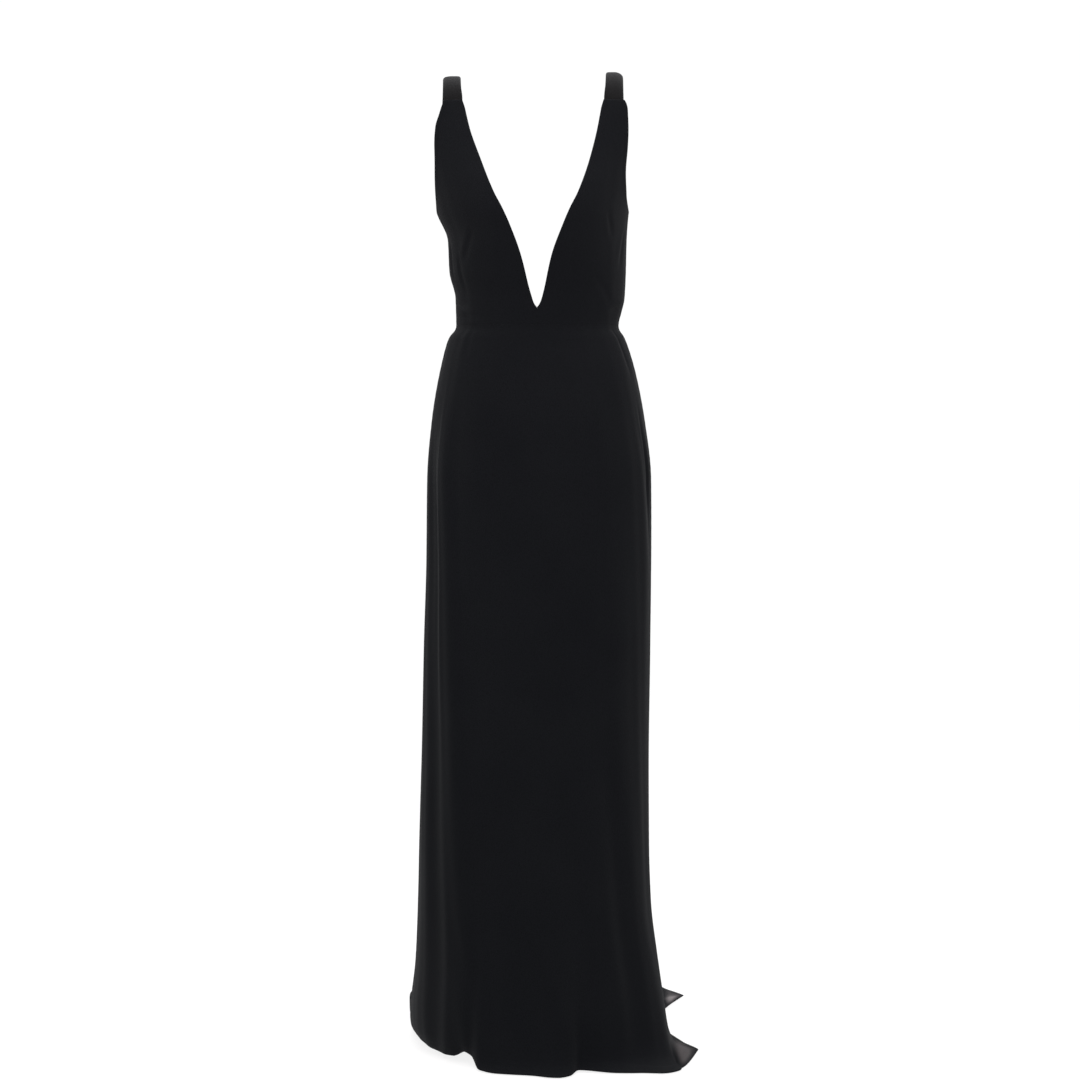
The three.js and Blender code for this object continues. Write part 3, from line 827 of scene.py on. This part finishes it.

# Colour, sheen and gloss of the crepe, and of a lighter copy of it on the doubled cloth of the
# straps, whose paler colour and stronger sheen are painted light for the light from above on the
# straps
CREPE_FINISH = {"colour": (0.0031, 0.0035, 0.0043), "sheen": 0.022, "specular": 0.025}
LIT_STRAP_FINISH = {"colour": (0.0048, 0.0048, 0.0050), "sheen": 0.042, "specular": 0.03}

# Corners of the train that lie on the floor, given a paler colour as painted highlight for the
# light from above on their upward faces: metres out from the centre where the tone begins and is
# full, its top and how far below it the tone is full, the slant of its inner edge near the floor,
# and the heights between which it fades towards the hem, leaving the edge that turns down to the
# floor dark as painted shade
CORNER_HIGHLIGHT = {
    "from": 0.196, "full": 0.207, "top": -1.37, "top_fade": 0.04,
    "slant_top": 1.434, "slant": 0.6, "hem": -1.4575, "above_hem": -1.4512,
}

# Painted highlight tone of the front and of the rear corner, lighter on the rear one, and the
# places along the train where each is full
FRONT_CORNER_HIGHLIGHT = {"colour": (0.047, 0.043, 0.044), "y": 0.05}
REAR_CORNER_HIGHLIGHT = {"colour": (0.150, 0.138, 0.140), "y": 0.25}

# Floor: half its width in metres, how far its tone varies, and its finish
FLOOR_HALF = 30.0
FLOOR_GRAIN_SCALE = 3
FLOOR_TONES = ((0, (0.14, 0.14, 0.14)), (1, (0.16, 0.16, 0.16)))
FLOOR_FINISH = {
    "Roughness": 0.9,
    "Specular IOR Level": 0.0,
    "Emission Color": (1, 1, 1, 1),
    "Emission Strength": 0.84,
}


def node(tree, kind, x, y, inputs=None, **properties):
    """Adds a shader node, sets its properties, and sets or links its inputs."""
    made = tree.nodes.new(kind)
    made.location = (x, y)
    for name, value in properties.items():
        setattr(made, name, value)
    for name, value in (inputs or {}).items():
        if isinstance(value, bpy.types.NodeSocket):
            tree.links.new(value, made.inputs[name])
        else:
            made.inputs[name].default_value = value
    return made


def ramp(tree, x, y, share, stops):
    """Colour ramp between two stops, each a position and a colour."""
    made = node(tree, "ShaderNodeValToRGB", x, y, {"Fac": share})
    for element, (position, colour) in zip(made.color_ramp.elements, stops):
        element.position = position
        element.color = (*colour, 1)
    return made.outputs["Color"]


def reckon(tree, x, y, operation, *values):
    """Math node on numbers and sockets."""
    inputs = dict(enumerate(values))
    return node(tree, "ShaderNodeMath", x, y, inputs, operation=operation).outputs[0]


def fade(tree, x, y, value, low, high):
    """Smooth share from 0 at low to 1 at high."""
    span = {"Value": value, "From Min": low, "From Max": high}
    kind = "ShaderNodeMapRange"
    return node(tree, kind, x, y, span, interpolation_type="SMOOTHSTEP").outputs["Result"]


def corner_highlight(tree, place):
    """Share and colour of the painted highlight on the corners of the train, which lie on the floor
    and face the light from above.
    """
    split = node(tree, "ShaderNodeSeparateXYZ", -1050, -700, {"Vector": place})
    x, y, z = (split.outputs[axis] for axis in "XYZ")
    raised = reckon(tree, -950, -850, "ADD", z, CORNER_HIGHLIGHT["slant_top"])
    below = reckon(tree, -820, -850, "MINIMUM", raised, 0)
    slanted = reckon(tree, -720, -700, "MULTIPLY_ADD", below, CORNER_HIGHLIGHT["slant"], x)
    outward = fade(tree, -600, -700, slanted, CORNER_HIGHLIGHT["from"], CORNER_HIGHLIGHT["full"])
    full_height = CORNER_HIGHLIGHT["top"] - CORNER_HIGHLIGHT["top_fade"]
    low_down = fade(tree, -600, -950, z, CORNER_HIGHLIGHT["top"], full_height)
    # Painted shade: the highlight stops a few millimetres above the floor, so the edge that turns
    # down stays dark
    above_edge_shade = fade(tree, -600, -1200, z, CORNER_HIGHLIGHT["hem"], CORNER_HIGHLIGHT["above_hem"])
    in_height = reckon(tree, -420, -1000, "MULTIPLY", low_down, above_edge_shade)
    share = reckon(tree, -300, -800, "MULTIPLY", outward, in_height)
    rearward = node(tree, "ShaderNodeMapRange", -600, -1450, {
        "Value": y, "From Min": FRONT_CORNER_HIGHLIGHT["y"], "From Max": REAR_CORNER_HIGHLIGHT["y"],
    })
    pale = node(tree, "ShaderNodeMix", -420, -1250, {
        "Factor": rearward.outputs["Result"],
        "A": (*FRONT_CORNER_HIGHLIGHT["colour"], 1),
        "B": (*REAR_CORNER_HIGHLIGHT["colour"], 1),
    }, data_type="RGBA")
    return share, pale.outputs["Result"]


def crepe_material(name, colour, sheen, specular):
    """Matt crepe: pebbled grain with painted shade in its hollows and painted highlight on its
    crests, faint uneven dye, painted highlight on the train's corners, and a soft sheen at grazing
    angles.
    """
    material = bpy.data.materials.new(name)
    material.use_nodes = True
    tree = material.node_tree
    tree.nodes.clear()
    place = node(tree, "ShaderNodeTexCoord", -1500, 0).outputs["Object"]
    stretch = node(tree, "ShaderNodeMapping", -1300, 0, {"Vector": place, "Scale": GRAIN_STRETCH})
    grain = stretch.outputs["Vector"]
    voronoi = node(tree, "ShaderNodeTexVoronoi", -1050, 250, {
        "Vector": grain, **PEBBLE,
    }, feature="SMOOTH_F1")
    noise = node(tree, "ShaderNodeTexNoise", -1050, -50, {"Vector": grain, **CRINKLE})
    patches = node(tree, "ShaderNodeTexNoise", -1050, -400, {"Vector": place, **DYE})
    pebble, crinkle = voronoi.outputs["Distance"], noise.outputs["Fac"]
    relief = reckon(tree, -820, 150, "MULTIPLY_ADD", pebble, PEBBLE_SHARE, crinkle)

    # Painted shade and highlight: the colour follows the grain's relief, darker in its hollows and
    # lighter on its crests
    grain_shading = [(position, [c * factor for c in colour]) for position, factor in GRAIN_SHADE_TONES]
    dyed = node(tree, "ShaderNodeMix", -300, 50, {
        "Factor": 1.0,
        "A": ramp(tree, -600, 150, relief, grain_shading),
        "B": ramp(tree, -600, -300, patches.outputs["Fac"], DYE_TONES),
    }, data_type="RGBA", blend_type="MULTIPLY")
    # Painted highlight: the corners of the train that lie on the floor get a paler colour for the
    # light from above
    highlight_share, highlight_colour = corner_highlight(tree, place)
    toned = node(tree, "ShaderNodeMix", -150, 50, {
        "Factor": highlight_share,
        "A": dyed.outputs["Result"],
        "B": highlight_colour,
    }, data_type="RGBA")
    rough = node(tree, "ShaderNodeMapRange", -300, -200, {
        "Value": crinkle, "To Min": CREPE_ROUGHNESS[0], "To Max": CREPE_ROUGHNESS[1],
    })
    bump = node(tree, "ShaderNodeBump", -300, -450, {
        "Height": relief, "Strength": GRAIN_STRENGTH, "Distance": GRAIN_DEPTH * MM,
    })
    cloth = node(tree, "ShaderNodeBsdfPrincipled", 0, 0, {
        "Base Color": toned.outputs["Result"],
        "Roughness": rough.outputs["Result"],
        "Normal": bump.outputs["Normal"],
        "Specular IOR Level": specular,
        "Sheen Weight": sheen,
        "Sheen Roughness": SHEEN_ROUGHNESS,
        "Sheen Tint": SHEEN_TINT,
    })
    node(tree, "ShaderNodeOutputMaterial", 300, 0, {"Surface": cloth.outputs["BSDF"]})
    return material


def floor_material():
    material = bpy.data.materials.new("pale_floor")
    material.use_nodes = True
    tree = material.node_tree
    surface = tree.nodes["Principled BSDF"]
    for name, value in FLOOR_FINISH.items():
        surface.inputs[name].default_value = value
    place = node(tree, "ShaderNodeTexCoord", -900, 0).outputs["Object"]
    grain = node(tree, "ShaderNodeTexNoise", -700, 0, {"Vector": place, "Scale": FLOOR_GRAIN_SCALE})
    tone = ramp(tree, -450, 0, grain.outputs["Fac"], FLOOR_TONES)
    tree.links.new(tone, surface.inputs["Base Color"])
    return material


def area_light(name, place, aim, size, power, colour):
    light = bpy.data.lights.new(name, "AREA")
    light.shape = "RECTANGLE"
    light.size, light.size_y = size
    light.energy = power
    light.color = colour
    lamp = add_object(name, light)
    lamp.location = place
    direction = np.array(aim, float) - np.array(place, float)
    turn = math.atan2(direction[1], direction[0])
    tilt = math.atan2(math.hypot(direction[0], direction[1]), -direction[2])
    lamp.rotation_euler = (tilt, 0, turn - math.pi / 2)
    lamp.visible_camera = False


# Camera at the photo's height and distance, looking slightly down
CAMERA_PLACE = (0.0045, -4.0, -0.482)
CAMERA_PITCH = 3.005
CAMERA_LENS = 88.9
CAMERA_SENSOR = 36
camera_data = bpy.data.cameras.new("camera")
camera_data.sensor_width = CAMERA_SENSOR
camera_data.lens = CAMERA_LENS
camera = add_object("camera", camera_data)
camera.location = CAMERA_PLACE
camera.rotation_euler = (math.radians(90 - CAMERA_PITCH), 0, 0)
bpy.context.scene.camera = camera

crepe = crepe_material("black_crepe", **CREPE_FINISH)
# The straps get a lighter copy of the crepe, painted light for the light from above on them
lit_strap_crepe = crepe_material("black_crepe_strap", **LIT_STRAP_FINISH)

# Cloth of each panel, with its material, the body it hangs from, and its solid hidden
CENTRE_BACK = ("zip", ZIP_BOTTOM, "seam")
cloths = {
    "front_bodice_left": bodice_piece("front_bodice_left_cloth", 1, False),
    "front_bodice_right": bodice_piece("front_bodice_right_cloth", -1, False),
    "back_bodice_left": bodice_piece("back_bodice_left_cloth", 1, True),
    "back_bodice_right": bodice_piece("back_bodice_right_cloth", -1, True),
    "skirt_front": skirt_piece(
        "skirt_front_cloth", -90.0, 90.0, FRONT_SKIRT_COLUMNS, ("seam", "seam")
    ),
    "skirt_back_left": skirt_piece(
        "skirt_back_left_cloth", 90.0, 180.0, BACK_SKIRT_COLUMNS, ("seam", CENTRE_BACK)
    ),
    "skirt_back_right": skirt_piece(
        "skirt_back_right_cloth", -180.0, -90.0, BACK_SKIRT_COLUMNS, (CENTRE_BACK, "seam")
    ),
    "strap_left": strap_piece("strap_left_cloth", STRAPS["left"]),
    "strap_right": strap_piece("strap_right_cloth", STRAPS["right"]),
}
for node_name, piece in cloths.items():
    is_strap = node_name.startswith("strap")
    piece.data.materials.append(lit_strap_crepe if is_strap else crepe)
    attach(piece, "root")
    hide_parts(node_name)

# Plain pale floor
floor_mesh = bpy.data.meshes.new("floor")
corners = [
    (-FLOOR_HALF, -FLOOR_HALF, 0), (FLOOR_HALF, -FLOOR_HALF, 0),
    (FLOOR_HALF, FLOOR_HALF, 0), (-FLOOR_HALF, FLOOR_HALF, 0),
]
floor_mesh.from_pydata(corners, [], [(0, 1, 2, 3)])
floor = add_object("floor", floor_mesh)
floor.location = (0, 0, FLOOR * MM)
floor.data.materials.append(floor_material())

# Soft studio light: white surroundings, a wide soft light from above, one over the top of the
# dress and one in front of the bodice, and two weak ones behind. Watts, and for the sun its
# strength and the degrees it spans.
SURROUNDINGS = 1.02
SUN = {"strength": 0.35, "degrees": 60}
LAMPS = {
    "overhead": {
        "place": (0, 0.25, 1.3), "aim": (0, 0.1, -0.7), "size": (2.2, 1.8),
        "power": 50, "colour": (1, 1, 1),
    },
    "top_front": {
        "place": (0, -1.6, 0.35), "aim": (0, 0, -0.35), "size": (1.4, 0.8),
        "power": 24.5, "colour": (1.0, 0.86, 0.88),
    },
    "behind_left": {
        "place": (2.4, 1.6, 0.2), "aim": (0, 0, -0.7), "size": (1.0, 2.4),
        "power": 3, "colour": (1, 1, 1),
    },
    "behind_right": {
        "place": (-2.4, 1.6, 0.2), "aim": (0, 0, -0.7), "size": (1.0, 2.4),
        "power": 3, "colour": (1, 1, 1),
    },
}
world = bpy.data.worlds.new("studio")
world.use_nodes = True
background = world.node_tree.nodes["Background"]
background.inputs["Color"].default_value = (1, 1, 1, 1)
background.inputs["Strength"].default_value = SURROUNDINGS
bpy.context.scene.world = world
soft_top = bpy.data.lights.new("soft_top", "SUN")
soft_top.energy = SUN["strength"]
soft_top.angle = math.radians(SUN["degrees"])
add_object("soft_top", soft_top)
for lamp_name, lamp in LAMPS.items():
    area_light(lamp_name, **lamp)

view = bpy.context.scene.view_settings
view.view_transform = "Standard"
view.look = "None"
